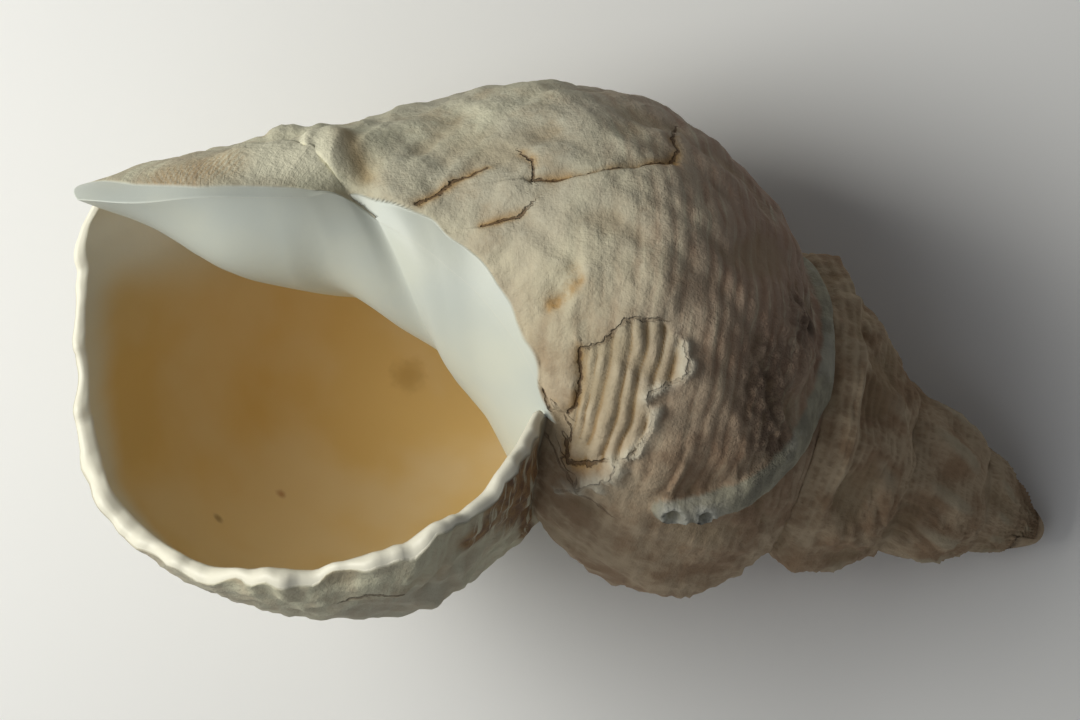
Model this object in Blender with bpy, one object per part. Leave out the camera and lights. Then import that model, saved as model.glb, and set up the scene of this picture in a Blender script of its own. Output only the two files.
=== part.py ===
"""A weathered whelk shell lying on its back, mouth up: one closed body grown along a spiral.

Lengths in the first block are millimetres. A turn is one full circle round the shell's axis,
counted from the right-hand side of the mouth, and it falls below zero towards the spire.
"""
import math

import bmesh
import bpy
import numpy as np
from mathutils import Euler, Vector

MM = 0.001

# Growth: every whorl is the one before it, made larger by this factor and let down the axis
GROWTH = 1.75
WHORLS = 5
LIP_TURN = 0.18

# Half section of the last whorl at turn 0, from the suture to the end of the canal:
# distance from the axis, and drop below the apex
WHORL = [(15.4, 44.5), (19.7, 47.2), (24.2, 51.2), (27.8, 56.7), (29.8, 63.6), (29.8, 71.6),
         (27.1, 78.9), (22.4, 85.3), (18.3, 89.8), (15.2, 93.4), (13.2, 96.8), (11.4, 99.8), (8.2, 102.4)]

# How stout the whorls are along the spiral: turn, factor on the distance from the axis
STOUTNESS = [(-5.0, 1.45), (-4.0, 1.40), (-3.0, 1.28), (-2.5, 1.20), (-2.0, 1.14), (-1.5, 1.05),
             (-1.0, 1.02), (-0.5, 0.965), (0.0, 1.0), (0.3, 1.0)]
# How much of a whorl's swelling is worn away: turn, share of the way to a straight side
WORN_SIDES = [(-5.0, 0.9), (-4.0, 0.65), (-3.0, 0.5), (-2.5, 0.36), (-2.0, 0.15), (-1.6, 0.0), (0.3, 0.0)]

# The suture slips down the whorl before it over the last part of the growth
SLIP = 0.10
SLIP_TURNS = 0.35
# The top of a section is pulled to that seat, less and less down to this place
SEAT_REACH = 0.35
SEAT_BEND = 1.6

# Outer lip: place along the section, turn at which the lip ends there, outward flare
LIP = [(0.0, 0.18, 0.0), (0.15, 0.145, 0.0), (0.35, 0.095, 0.0), (0.5, 0.042, 1.0), (0.65, -0.012, 2.2),
       (0.8, -0.06, 0.8), (0.92, -0.13, 0.0), (1.0, -0.205, 0.0)]
FLARE_TURNS = 0.14
FLARE_BEND = 1.5
WALL = 1.1
# Near the suture the wall is measured in this direction, because the section turns sharply there
CORNER = 0.08
CORNER_INWARD = (0.3, 0.95)

# Place along the section where the last whorl's rows end at the pillar, and its rise per share of a turn
LOW_PLACE = 0.985
LOW_RISE = 0.2
# Inner lip: share of the last turn, place along the section that it has reached on the body
INNER_LIP = [(0.0, None), (0.04, 0.70), (0.09, 0.79), (0.15, 0.88), (0.21, 0.95), (0.26, LOW_PLACE)]
# then down the pillar to the tip of the canal: share of the last turn, x, y, drop
PILLAR_EDGE = [(0.32, -4.2, -4.3, 74.0), (0.42, -3.0, -4.7, 77.0), (0.55, -1.6, -4.8, 80.4),
               (0.70, 0.4, -4.3, 85.2), (0.85, 2.8, -2.6, 89.5), (1.0, 4.5, 0.0, 93.2)]
# Pillar inside the mouth, at turn 0: share of the last turn, distance from the axis, drop
PILLAR = [(0.34, 4.2, 63.0), (0.43, 3.1, 67.9), (0.55, 4.3, 73.1), (0.68, 5.4, 79.1), (0.80, 5.5, 84.3),
          (0.90, 5.2, 89.1), (1.0, 5.7, 93.4)]
PILLAR_JOIN = (0.15, 0.21, 0.26)
# Columns of facets past the end of the section, which curl under the pillar to the inner lip
CURL_COLUMNS = 3
CURL_STARTS = (0.2, 0.35)
CURL_SAG = 0.15

# Ledge that stands out along the last suture, on the left and in front: it laps up the whorl above
LEDGE = 2.3
LEDGE_TURN = -0.62
LEDGE_TURNS = 0.22
LEDGE_BELOW = 0.05
LEDGE_ABOVE = 0.17
LEDGE_EDGE = 0.05

# The spire leans a little to the left of the body whorl's axis: slope, and turns over which it sets in
LEAN = 0.010
LEAN_STARTS = (-0.7, -1.3)
# The apex also stands a little to that side
ASIDE = 0.4
ASIDE_STARTS = (-2.2, -3.2)

# Low folds across the spire whorls, which die out on the body whorl
FOLDS = 11
FOLD_HEIGHT = 1.2
FOLD_SLANT = -0.73
FOLD_START = 0.49
FOLD_FADE = (-1.4, -0.5)

# The cavity: shares of the way from the lip to the first full section, then further turns
MOUTH_STEPS = (0.04, 0.1, 0.17, 0.25, 0.33, 0.42, 0.52, 0.63, 0.75, 0.87, 1.0)
MOUTH_TURN = -0.30
MOUTH_BLEND = 0.55
DEEP_STEPS = 9
DEEP_TURNS = 1.05

# Facets round one whorl, and from suture to canal
FACETS_ROUND = 44
FACETS_ACROSS = 16

# The whorls in the middle of the spire sit lower than even growth puts them, by at most this much,
# from the first of these drops to the last and most at the second
SETTLED = 2.05
SETTLED_DROPS = (8.0, 17.0, 34.0)
# The apex is worn round: nothing lies nearer than this to the point where the spire would end
TIP_DROP = 2.2
TIP_BEND = 4
TIP_RINGS = (0.5, 0.8)

# Step along the section for its tangent, and the stretch of it searched for the suture
TANGENT_STEP = 0.001
SUTURE_SEARCH = (0.3, 0.8)
SEARCH_STEPS = 4001
TINY = 1e-6

# Turn of the upright shell into the way it lies, in degrees: about x, y and then z
LYING = (-114.5, -1.9, -89.1)
# The back is worn flat by this much where the shell lies on it
WORN = 0.4

SHELL_COLOUR = (0.62, 0.56, 0.46, 1.0)
SHELL_ROUGHNESS = 0.75


def clear_scene():
    for thing in list(bpy.data.objects):
        bpy.data.objects.remove(thing, do_unlink=True)


def smooth_step(x):
    x = np.clip(x, 0.0, 1.0)
    return x * x * (3.0 - 2.0 * x)


def curve(knots, values, x):
    """Smooth cubic curve through values at knots, read at x; values may have several columns."""
    knots = np.asarray(knots, float)
    values = np.asarray(values, float)
    x = np.asarray(x, float)
    slope = np.gradient(values, knots, axis=0)
    i = np.clip(np.searchsorted(knots, x, side="right") - 1, 0, len(knots) - 2)
    width = knots[i + 1] - knots[i]
    u = np.clip((x - knots[i]) / width, 0.0, 1.0)
    if values.ndim == 2:
        u = u[..., None]
        width = width[..., None]
    start = (1 + 2 * u) * (1 - u) ** 2 * values[i] + u * (1 - u) ** 2 * width * slope[i]
    end = u ** 2 * (3 - 2 * u) * values[i + 1] + u ** 2 * (u - 1) * width * slope[i + 1]
    return start + end


def along(points):
    """Share of the length of a line of points that each point has reached, 0 to 1."""
    steps = np.linalg.norm(np.diff(np.asarray(points, float), axis=0), axis=1)
    return np.concatenate([[0.0], np.cumsum(steps)]) / steps.sum()


WHORL_PLACE = along(WHORL)


def whorl(place):
    return curve(WHORL_PLACE, WHORL, place)


def find_suture():
    """Place on the section where the next whorl starts: the section made smaller meets its own start."""
    place = np.linspace(*SUTURE_SEARCH, SEARCH_STEPS)
    inner = whorl(place) / GROWTH
    return float(place[np.argmin(np.abs(inner[:, 1] - WHORL[0][1]))])


SUTURE = find_suture()


def stoutness(turn):
    return curve([row[0] for row in STOUTNESS], [row[1] for row in STOUTNESS], turn)


def suture_place(turn):
    """Place on the whorl before that carries the suture of this turn."""
    slip = smooth_step((np.asarray(turn) - (LIP_TURN - SLIP_TURNS)) / SLIP_TURNS)
    return SUTURE + SLIP * slip


def lip_turn(place):
    return curve([row[0] for row in LIP], [row[1] for row in LIP], place)


def lip_flare(place):
    return curve([row[0] for row in LIP], [row[2] for row in LIP], place)


def bell(x, centre, half_width):
    return np.exp(-((x - centre) / half_width) ** 4)


def ledge(turn, place):
    """Raised band on both sides of the suture: on this whorl's top, and on the one above it."""
    own = bell(turn, LEDGE_TURN, LEDGE_TURNS) * np.exp(-(place / LEDGE_BELOW) ** 2)
    lap = smooth_step((place - SUTURE + LEDGE_ABOVE) / LEDGE_EDGE)
    return LEDGE * (own + GROWTH * bell(turn + 1.0, LEDGE_TURN, LEDGE_TURNS) * lap)


def folds(turn, place):
    fade = 1.0 - smooth_step((turn - FOLD_FADE[0]) / (FOLD_FADE[1] - FOLD_FADE[0]))
    across = np.sin(math.pi * np.clip(place / SUTURE, 0.0, 1.0)) ** 2
    wave = np.cos(2 * math.pi * (FOLDS * turn + FOLD_SLANT * place + FOLD_START))
    return FOLD_HEIGHT * fade * across * wave


def section(turn, place):
    """Distance from the axis and drop of the outside, before the growth factor of the turn."""
    turn = np.asarray(turn, float)
    place = np.asarray(place, float)
    points = whorl(place)
    seat = whorl(suture_place(turn)) / GROWTH
    seat[..., 0] *= stoutness(turn - 1.0) / stoutness(turn)
    pull = np.clip(1.0 - place / SEAT_REACH, 0.0, 1.0) ** SEAT_BEND
    points = points + (seat - np.array(WHORL[0])) * pull[..., None]
    worn = np.interp(turn, [row[0] for row in WORN_SIDES], [row[1] for row in WORN_SIDES])
    straight = seat + (whorl(SUTURE) - seat) * np.clip(place / SUTURE, 0.0, 1.0)[..., None]
    points = points + (straight - points) * (worn * (place < SUTURE))[..., None]
    before = np.clip(place - TANGENT_STEP, 0, 1)
    after = np.clip(place + TANGENT_STEP, 0, 1)
    tangent = whorl(after) - whorl(before)
    tangent /= np.linalg.norm(tangent, axis=-1, keepdims=True)
    outward = np.stack([tangent[..., 1], -tangent[..., 0]], -1)
    near_lip = np.clip((turn - lip_turn(place) + FLARE_TURNS) / FLARE_TURNS, 0.0, 1.0) ** FLARE_BEND
    points = points + outward * (lip_flare(place) * near_lip)[..., None]
    points[..., 0] = points[..., 0] * stoutness(turn) + ledge(turn, place) + folds(turn, place)
    return points


def grown(turn, points):
    """Put section points at a turn of the spiral: x, y, z of the upright shell in millimetres."""
    angle = 2 * math.pi * turn
    size = GROWTH ** turn
    radius = size * points[..., 0]
    drop = size * points[..., 1]
    lean = LEAN * drop * smooth_step((LEAN_STARTS[0] - turn) / (LEAN_STARTS[0] - LEAN_STARTS[1]))
    lean = lean + ASIDE * smooth_step((ASIDE_STARTS[0] - turn) / (ASIDE_STARTS[0] - ASIDE_STARTS[1]))
    return np.stack([radius * np.cos(angle) - lean, -radius * np.sin(angle), -drop], -1)


def settled(z):
    """Height of a point once the upper whorls have sat down and the apex is worn round."""
    start, middle, end = SETTLED_DROPS
    let_down = SETTLED * smooth_step((-z - start) / (middle - start))
    let_down = let_down * (1.0 - smooth_step((-z - middle) / (end - middle)))
    return -(np.abs(z - let_down) ** TIP_BEND + TIP_DROP ** TIP_BEND) ** (1 / TIP_BEND)


def outside(turn, place):
    return grown(turn, section(turn, place))


def last_turn(share, place):
    first = LIP_TURN - 1.0
    return first + (lip_turn(place) - first) * share


def body_place(share):
    """Place that the inner lip has reached while it still crosses the body whorl."""
    shares = [row[0] for row in INNER_LIP]
    places = [float(suture_place(LIP_TURN))] + [row[1] for row in INNER_LIP[1:]]
    return np.interp(share, shares, places)


def inner_lip(share):
    """The inner lip in space: over the body whorl, then down the pillar to the canal."""
    place = body_place(share)
    on_body = outside(last_turn(share, place), place)
    join = np.array(PILLAR_JOIN)
    join_place = body_place(join)
    start = outside(last_turn(join, join_place), join_place)
    rest = np.array([(x, y, -drop) for _, x, y, drop in PILLAR_EDGE])
    shares = np.concatenate([join, [row[0] for row in PILLAR_EDGE]])
    down = curve(shares, np.concatenate([start, rest]), np.clip(share, join[0], 1.0))
    return np.where((share < join[-1])[:, None], on_body, down)


def cavity_pillar(share):
    """Inner side of the cavity at a full section: the body whorl's skin, then the pillar."""
    join = np.array(PILLAR_JOIN)
    start = whorl(body_place(join)) / GROWTH
    rest = np.array([(radius, drop) for _, radius, drop in PILLAR])
    shares = np.concatenate([join, [row[0] for row in PILLAR]])
    down = curve(shares, np.concatenate([start, rest]), np.clip(share, join[0], 1.0))
    on_body = whorl(body_place(share)) / GROWTH
    return np.where((share < join[-1])[:, None], on_body, down)


def spire_grid():
    """Outside of every whorl that a later one partly covers, rows along the spiral."""
    rows = (WHORLS - 1) * FACETS_ROUND + 1
    turn = LIP_TURN - WHORLS + np.arange(rows) / FACETS_ROUND
    end = suture_place(turn + 1.0)
    across = np.arange(FACETS_ACROSS + 1) / FACETS_ACROSS
    return outside(np.repeat(turn[:, None], FACETS_ACROSS + 1, 1), end[:, None] * across[None, :])


def section_share(share):
    """Part of a row of the last whorl that follows the section; the rest curls under the pillar."""
    curl = CURL_COLUMNS / FACETS_ACROSS
    return 1.0 - curl * smooth_step((share - CURL_STARTS[0]) / (CURL_STARTS[1] - CURL_STARTS[0]))


def body_grid(edge):
    """Outside of the last whorl, curled under the pillar at its lower end to the inner lip."""
    share = (np.arange(1, FACETS_ROUND + 1) / FACETS_ROUND)[:, None]
    across = (np.arange(FACETS_ACROSS + 1) / FACETS_ACROSS)[None, :]
    join = PILLAR_JOIN[-1]
    low_place = np.clip(LOW_PLACE + LOW_RISE * (share - join), 0, 1)
    last_place = np.where(share < join, body_place(share), low_place)
    own = section_share(share)
    place = last_place * np.clip(across / own, 0.0, 1.0)
    points = outside(last_turn(share, place), place)
    curl = np.clip((across - own) / np.maximum(1.0 - own, TINY), 0.0, 1.0)[..., None]
    reach = edge[1:, None, :] - points
    sag = CURL_SAG * np.linalg.norm(reach, axis=-1) * np.sin(math.pi * curl[..., 0])
    points = points + curl * reach
    points[..., 2] -= sag
    points[:, -1, :] = edge[1:]
    return points


def inner_wall(turn, place):
    """Section of the outer wall's inner side, one wall thickness in."""
    points = section(turn, place)
    before = section(turn, np.clip(place - TANGENT_STEP, 0, 1))
    after = section(turn, np.clip(place + TANGENT_STEP, 0, 1))
    tangent = after - before
    tangent /= np.linalg.norm(tangent, axis=-1, keepdims=True)
    inward = np.stack([-tangent[..., 1], tangent[..., 0]], -1)
    corner = np.clip(1.0 - place / CORNER, 0.0, 1.0)[..., None]
    inward = inward * (1.0 - corner) + np.array(CORNER_INWARD) * corner
    inward /= np.linalg.norm(inward, axis=-1, keepdims=True)
    return points + inward * WALL


def cavity_rings(edge):
    """Loops of points from the lip into the shell: outer wall first, then back along the pillar."""
    own = FACETS_ACROSS - CURL_COLUMNS
    place = np.arange(own + 1) / own
    share = np.arange(1, FACETS_ROUND + 1) / FACETS_ROUND
    edge = edge[1:]
    edge_turn = np.unwrap(np.arctan2(-edge[:, 1], edge[:, 0])) / (2 * math.pi)
    edge_turn += round(LIP_TURN - edge_turn[0])
    size = GROWTH ** edge_turn
    edge_unit = np.stack([np.hypot(edge[:, 0], edge[:, 1]), -edge[:, 2]], -1) / size[:, None]
    pillar = cavity_pillar(share)
    rings = []

    def add_ring(outer_step, inner_step, turn):
        outer_turn = lip_turn(place) + (turn - lip_turn(place)) * outer_step
        inner_turn = edge_turn + (turn - edge_turn) * inner_step
        inner = edge_unit + (pillar - edge_unit) * smooth_step(inner_step / MOUTH_BLEND)
        outer = grown(outer_turn, inner_wall(outer_turn, place))
        inner = grown(inner_turn, inner)[::-1]
        floor = np.linspace(outer[-1], inner[0], CURL_COLUMNS + 1)[1:-1]
        rings.append(np.concatenate([outer, floor, inner]))

    add_ring(0.0, MOUTH_STEPS[0] / 2, MOUTH_TURN)
    for step in MOUTH_STEPS:
        add_ring(step, step, MOUTH_TURN)
    for deep in range(1, DEEP_STEPS + 1):
        add_ring(1.0, 1.0, MOUTH_TURN - DEEP_TURNS * deep / DEEP_STEPS)
    return rings


def build_mesh():
    share = np.arange(FACETS_ROUND + 1) / FACETS_ROUND
    edge = inner_lip(share)
    spire = spire_grid()
    body = body_grid(edge)
    grid = np.concatenate([spire, body])
    mesh = bmesh.new()
    rows = []
    for i, row in enumerate(grid):
        first = rows[i - FACETS_ROUND][-1] if i >= FACETS_ROUND else mesh.verts.new(row[0])
        rows.append([first] + [mesh.verts.new(point) for point in row[1:]])
    for upper, lower in zip(rows[:-1], rows[1:]):
        for j in range(FACETS_ACROSS):
            mesh.faces.new((upper[j], lower[j], lower[j + 1], upper[j + 1]))
    close_apex(mesh, rows)
    close_cavity(mesh, rows, cavity_rings(edge))
    for vertex in mesh.verts:
        vertex.co.z = settled(vertex.co.z)
    bmesh.ops.triangulate(mesh, faces=mesh.faces[:])
    return mesh


def close_apex(mesh, rows):
    """Rings from the open end of the first whorl to the end of the axis."""
    loop = rows[0] + [rows[i][0] for i in range(FACETS_ROUND - 1, 0, -1)]
    tip = Vector((-ASIDE, 0.0, 0.0))
    last = loop
    for step in TIP_RINGS:
        ring = [mesh.verts.new(vertex.co.lerp(tip, step)) for vertex in loop]
        for k in range(len(ring)):
            n = (k + 1) % len(ring)
            mesh.faces.new((last[k], last[n], ring[n], ring[k]))
        last = ring
    end = mesh.verts.new(tip)
    for k in range(len(last)):
        mesh.faces.new((last[k], last[(k + 1) % len(last)], end))


def close_cavity(mesh, rows, rings):
    """Skin of the cavity from the rim of the mouth to its blind end."""
    last = rows[-1] + [rows[i][-1] for i in range(len(rows) - 2, len(rows) - 1 - FACETS_ROUND, -1)]
    for points in rings:
        ring = [mesh.verts.new(point) for point in points]
        for k in range(len(ring)):
            n = (k + 1) % len(ring)
            mesh.faces.new((last[k], ring[k], ring[n], last[n]))
        last = ring
    middle = np.mean([vertex.co for vertex in last], axis=0)
    end = mesh.verts.new(middle)
    for k in range(len(last)):
        mesh.faces.new((last[k], end, last[(k + 1) % len(last)]))


def lay_down(mesh):
    """Turn the upright shell on to its worn back and stand it on the ground, centred at the origin."""
    turn = Euler([math.radians(angle) for angle in LYING], "XYZ").to_matrix()
    for vertex in mesh.verts:
        vertex.co = turn @ vertex.co * MM
    ground = min(vertex.co.z for vertex in mesh.verts) + WORN * MM
    for vertex in mesh.verts:
        vertex.co.z = max(vertex.co.z, ground)
    low = [min(vertex.co[axis] for vertex in mesh.verts) for axis in range(3)]
    high = [max(vertex.co[axis] for vertex in mesh.verts) for axis in range(3)]
    shift = ((low[0] + high[0]) / 2, (low[1] + high[1]) / 2, low[2])
    for vertex in mesh.verts:
        for axis in range(3):
            vertex.co[axis] -= shift[axis]


def shell_material():
    material = bpy.data.materials.new("weathered shell")
    material.use_nodes = True
    shader = material.node_tree.nodes["Principled BSDF"]
    shader.inputs["Base Color"].default_value = SHELL_COLOUR
    shader.inputs["Roughness"].default_value = SHELL_ROUGHNESS
    shader.inputs["Metallic"].default_value = 0.0
    return material


def make_shell():
    mesh = build_mesh()
    lay_down(mesh)
    data = bpy.data.meshes.new("shell")
    mesh.to_mesh(data)
    mesh.free()
    data.materials.append(shell_material())
    data.shade_smooth()
    shell = bpy.data.objects.new("shell", data)
    bpy.context.scene.collection.objects.link(shell)


clear_scene()
make_shell()
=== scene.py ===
import math

import bpy
import numpy as np
from mathutils import Euler, Matrix, Vector


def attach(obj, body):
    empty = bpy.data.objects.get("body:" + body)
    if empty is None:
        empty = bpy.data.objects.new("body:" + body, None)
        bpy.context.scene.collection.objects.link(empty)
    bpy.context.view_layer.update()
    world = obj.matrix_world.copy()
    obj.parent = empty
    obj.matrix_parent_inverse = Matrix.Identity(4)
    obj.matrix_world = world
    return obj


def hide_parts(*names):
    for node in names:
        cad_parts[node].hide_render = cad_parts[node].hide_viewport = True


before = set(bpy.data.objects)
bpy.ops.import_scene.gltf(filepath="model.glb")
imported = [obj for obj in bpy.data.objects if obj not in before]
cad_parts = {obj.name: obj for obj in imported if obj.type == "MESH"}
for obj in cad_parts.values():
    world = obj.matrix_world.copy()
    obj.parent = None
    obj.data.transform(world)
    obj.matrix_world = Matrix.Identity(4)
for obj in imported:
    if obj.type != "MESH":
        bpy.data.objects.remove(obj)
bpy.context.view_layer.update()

# The shell is one piece of lime, laid down by the animal along a spiral that grows as it turns.
# Every whorl is the one before it made larger, and it is glued on to it along the suture.
# Lengths are millimetres; a turn is one full circle, falling below zero towards the spire.
MM = 0.001
GROWTH = 1.75
WHORLS = 5
LIP_TURN = 0.18
WHORL = [(15.4, 44.5), (19.7, 47.2), (24.2, 51.2), (27.8, 56.7), (29.8, 63.6), (29.8, 71.6),
         (27.1, 78.9), (22.4, 85.3), (18.3, 89.8), (15.2, 93.4), (13.2, 96.8), (11.4, 99.8), (8.2, 102.4)]
STOUTNESS = [(-5.0, 1.45), (-4.0, 1.40), (-3.0, 1.28), (-2.5, 1.20), (-2.0, 1.14), (-1.5, 1.05),
             (-1.0, 1.02), (-0.5, 0.965), (0.0, 1.0), (0.3, 1.0)]
WORN_SIDES = [(-5.0, 0.9), (-4.0, 0.65), (-3.0, 0.5), (-2.5, 0.36), (-2.0, 0.15), (-1.6, 0.0), (0.3, 0.0)]
SLIP = 0.10
SLIP_TURNS = 0.35
SEAT_REACH = 0.35
SEAT_BEND = 1.6
TANGENT_STEP = 0.001
SUTURE_SEARCH = (0.3, 0.8)
SEARCH_STEPS = 4001
TINY = 1e-6


def smooth_step(x):
    """Zero below 0, one above 1, and a smooth S between."""
    x = np.clip(x, 0.0, 1.0)
    return x * x * (3.0 - 2.0 * x)


def bell(x, centre, half_width):
    """Flat-topped bump: e to the minus fourth power of the distance from its centre."""
    return np.exp(-((x - centre) / half_width) ** 4)


def curve(knots, values, x):
    """Cubic through the values at the knots, with slopes from the neighbours on each side."""
    knots = np.asarray(knots, float)
    values = np.asarray(values, float)
    x = np.asarray(x, float)
    slope = np.gradient(values, knots, axis=0)
    i = np.clip(np.searchsorted(knots, x, side="right") - 1, 0, len(knots) - 2)
    width = knots[i + 1] - knots[i]
    u = np.clip((x - knots[i]) / width, 0.0, 1.0)
    if values.ndim == 2:
        u = u[..., None]
        width = width[..., None]
    start = (1 + 2 * u) * (1 - u) ** 2 * values[i] + u * (1 - u) ** 2 * width * slope[i]
    end = u ** 2 * (3 - 2 * u) * values[i + 1] + u ** 2 * (u - 1) * width * slope[i + 1]
    return start + end


def column(rows, k):
    """One column of a table of rows."""
    return [row[k] for row in rows]


WHORL_STEPS = np.linalg.norm(np.diff(np.array(WHORL), axis=0), axis=1)
SECTION_LENGTH = float(WHORL_STEPS.sum())
WHORL_PLACE = np.concatenate([[0.0], np.cumsum(WHORL_STEPS)]) / SECTION_LENGTH


def whorl(place):
    """Half section of a whorl: distance from the axis and drop, by share of its length."""
    return curve(WHORL_PLACE, WHORL, place)


def find_suture():
    """Place where the section made one turn smaller comes level with its own start."""
    place = np.linspace(*SUTURE_SEARCH, SEARCH_STEPS)
    inner = whorl(place) / GROWTH
    return float(place[np.argmin(np.abs(inner[:, 1] - WHORL[0][1]))])


SUTURE = find_suture()


def stoutness(turn):
    """Width of a turn's section against the last whorl's: a cubic through STOUTNESS."""
    return curve(column(STOUTNESS, 0), column(STOUTNESS, 1), turn)


def suture_place(turn):
    """Place on the whorl before that carries the suture: it slips down near the lip."""
    slip = smooth_step((np.asarray(turn) - (LIP_TURN - SLIP_TURNS)) / SLIP_TURNS)
    return SUTURE + SLIP * slip


# The outer lip ends at a slightly different turn at each place along the section, and it flares
# outwards below its middle. Its edge is frilled where the cords of the outside run out over it.
LIP = [(0.0, 0.18, 0.0), (0.15, 0.145, 0.0), (0.35, 0.095, 0.0), (0.5, 0.042, 1.0), (0.65, -0.012, 2.2),
       (0.8, -0.06, 0.8), (0.92, -0.13, 0.0), (1.0, -0.205, 0.0)]
FLARE_TURNS = 0.14
FLARE_BEND = 1.5
FRILLS = [(5.2, 0.0020, 0.4), (9.7, 0.0022, 2.1), (17.3, 0.0010, 4.0), (27.9, 0.0007, 1.0),
          (41.0, 0.0004, 5.0)]
FRILL_ENDS = 0.12


def lip_frill(place):
    """Sum of sines along the lip, faded out at both ends."""
    frill = sum(size * np.sin(2 * math.pi * count * place + start) for count, size, start in FRILLS)
    return frill * smooth_step(place / FRILL_ENDS) * smooth_step((1.0 - place) / FRILL_ENDS)


def lip_turn(place):
    """Turn at which the outer lip ends: a cubic through LIP, and the frill."""
    return curve(column(LIP, 0), column(LIP, 1), place) + lip_frill(np.asarray(place, float))


def lip_flare(place):
    """How far the lip stands out from the plain section, by place."""
    return curve(column(LIP, 0), column(LIP, 2), place)


# Form of the whorls beyond the plain spiral: a ledge laps over the last suture in front, low folds
# cross the spire whorls, and the spire leans a little to one side of the body whorl's axis.
LEDGE = 2.3
LEDGE_TURN = -0.62
LEDGE_TURNS = 0.22
LEDGE_BELOW = 0.05
LEDGE_ABOVE = 0.17
LEDGE_EDGE = 0.05
FOLDS = 11
FOLD_HEIGHT = 1.2
FOLD_FADE = (-1.4, -0.5)
FOLD_SLANT = -0.73
FOLD_START = 0.49
LEAN = 0.010
LEAN_STARTS = (-0.7, -1.3)
ASIDE = 0.4
ASIDE_STARTS = (-2.2, -3.2)
SETTLED = 2.05
SETTLED_DROPS = (8.0, 17.0, 34.0)
TIP_DROP = 2.2
TIP_BEND = 4


def ledge(turn, place):
    """Band on both sides of the suture: on this whorl's top and, one turn later, on this one's foot."""
    own = bell(turn, LEDGE_TURN, LEDGE_TURNS) * np.exp(-(place / LEDGE_BELOW) ** 2)
    lap = smooth_step((place - SUTURE + LEDGE_ABOVE) / LEDGE_EDGE)
    return LEDGE * (own + GROWTH * bell(turn + 1.0, LEDGE_TURN, LEDGE_TURNS) * lap)


def folds(turn, place):
    """Cosine of the turn, slanted along the section, highest at the whorl's middle, fading out below."""
    fade = 1.0 - smooth_step((turn - FOLD_FADE[0]) / (FOLD_FADE[1] - FOLD_FADE[0]))
    across = np.sin(math.pi * np.clip(place / SUTURE, 0.0, 1.0)) ** 2
    wave = np.cos(2 * math.pi * (FOLDS * turn + FOLD_SLANT * place + FOLD_START))
    return FOLD_HEIGHT * fade * across * wave


def section(turn, place):
    """Distance from the axis and drop of the outside at a turn, before the growth factor."""
    turn = np.asarray(turn, float)
    place = np.asarray(place, float)
    points = whorl(place)
    seat = whorl(suture_place(turn)) / GROWTH
    seat[..., 0] *= stoutness(turn - 1.0) / stoutness(turn)
    pull = np.clip(1.0 - place / SEAT_REACH, 0.0, 1.0) ** SEAT_BEND
    points = points + (seat - np.array(WHORL[0])) * pull[..., None]
    worn = np.interp(turn, column(WORN_SIDES, 0), column(WORN_SIDES, 1))
    straight = seat + (whorl(SUTURE) - seat) * np.clip(place / SUTURE, 0.0, 1.0)[..., None]
    points = points + (straight - points) * (worn * (place < SUTURE))[..., None]
    near_lip = np.clip((turn - lip_turn(place) + FLARE_TURNS) / FLARE_TURNS, 0.0, 1.0) ** FLARE_BEND
    points = points + outward(place) * (lip_flare(place) * near_lip)[..., None]
    points[..., 0] = points[..., 0] * stoutness(turn) + ledge(turn, place) + folds(turn, place)
    return points


def outward(place):
    """Unit direction out of the section: its tangent turned by a right angle."""
    before = np.clip(place - TANGENT_STEP, 0, 1)
    after = np.clip(place + TANGENT_STEP, 0, 1)
    tangent = whorl(after) - whorl(before)
    tangent /= np.linalg.norm(tangent, axis=-1, keepdims=True)
    return np.stack([tangent[..., 1], -tangent[..., 0]], -1)


def grown(turn, points):
    """Section points carried round the axis by the turn and made larger by the growth factor."""
    angle = 2 * math.pi * turn
    size = GROWTH ** turn
    radius = size * points[..., 0]
    drop = size * points[..., 1]
    lean = LEAN * drop * smooth_step((LEAN_STARTS[0] - turn) / (LEAN_STARTS[0] - LEAN_STARTS[1]))
    lean = lean + ASIDE * smooth_step((ASIDE_STARTS[0] - turn) / (ASIDE_STARTS[0] - ASIDE_STARTS[1]))
    return np.stack([radius * np.cos(angle) - lean, -radius * np.sin(angle), -drop], -1)


def settled(z):
    """Heights once the middle whorls of the spire have sat down and the apex is worn round."""
    start, middle, end = SETTLED_DROPS
    let_down = SETTLED * smooth_step((-z - start) / (middle - start))
    let_down = let_down * (1.0 - smooth_step((-z - middle) / (end - middle)))
    return -(np.abs(z - let_down) ** TIP_BEND + TIP_DROP ** TIP_BEND) ** (1 / TIP_BEND)


# Ornament and wear of the outside: flat spiral cords with finer threads between them, uneven growth,
# old healed breaks, a patch where the outer layer has flaked off, and a chalky worm tube on the shoulder.
# Wear stops softly at this depth in mm below the smooth whorl
DEEPEST = 0.45
DEEPEST_SOFT = 0.25
# Cords: number across a section, height in mm, wander, and (count, size, start) of their sines
CORDS = 34.0
CORD_HEIGHT = 0.13
CORD_WANDER = 0.17
CORD_UNEVEN = [(3.1, 0.30, 1.0), (8.3, 0.14, 0.5), (14.7, 0.08, 2.6)]
LIP_CORD_TURNS = (-0.35, -0.05)
BROAD_CORDS = 23.5
BROAD_HEIGHT = 0.42
SPIRE_CORDS = 26.0
CORD_ENDS = 0.03
# Lumps as (spacing in mm, height in mm, seed); growth lines as (number in a turn, height in mm)
LUMPS = [(11.0, 0.26, 3), (5.5, 0.20, 7), (2.6, 0.08, 11)]
SPIRE_LUMPS = [(5.4, 0.34, 71), (2.6, 0.13, 73)]
GROWTH_LINES = [(37.0, 0.05), (61.0, 0.03), (23.0, 0.09)]
GROWTH_SLANT = 0.9

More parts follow.
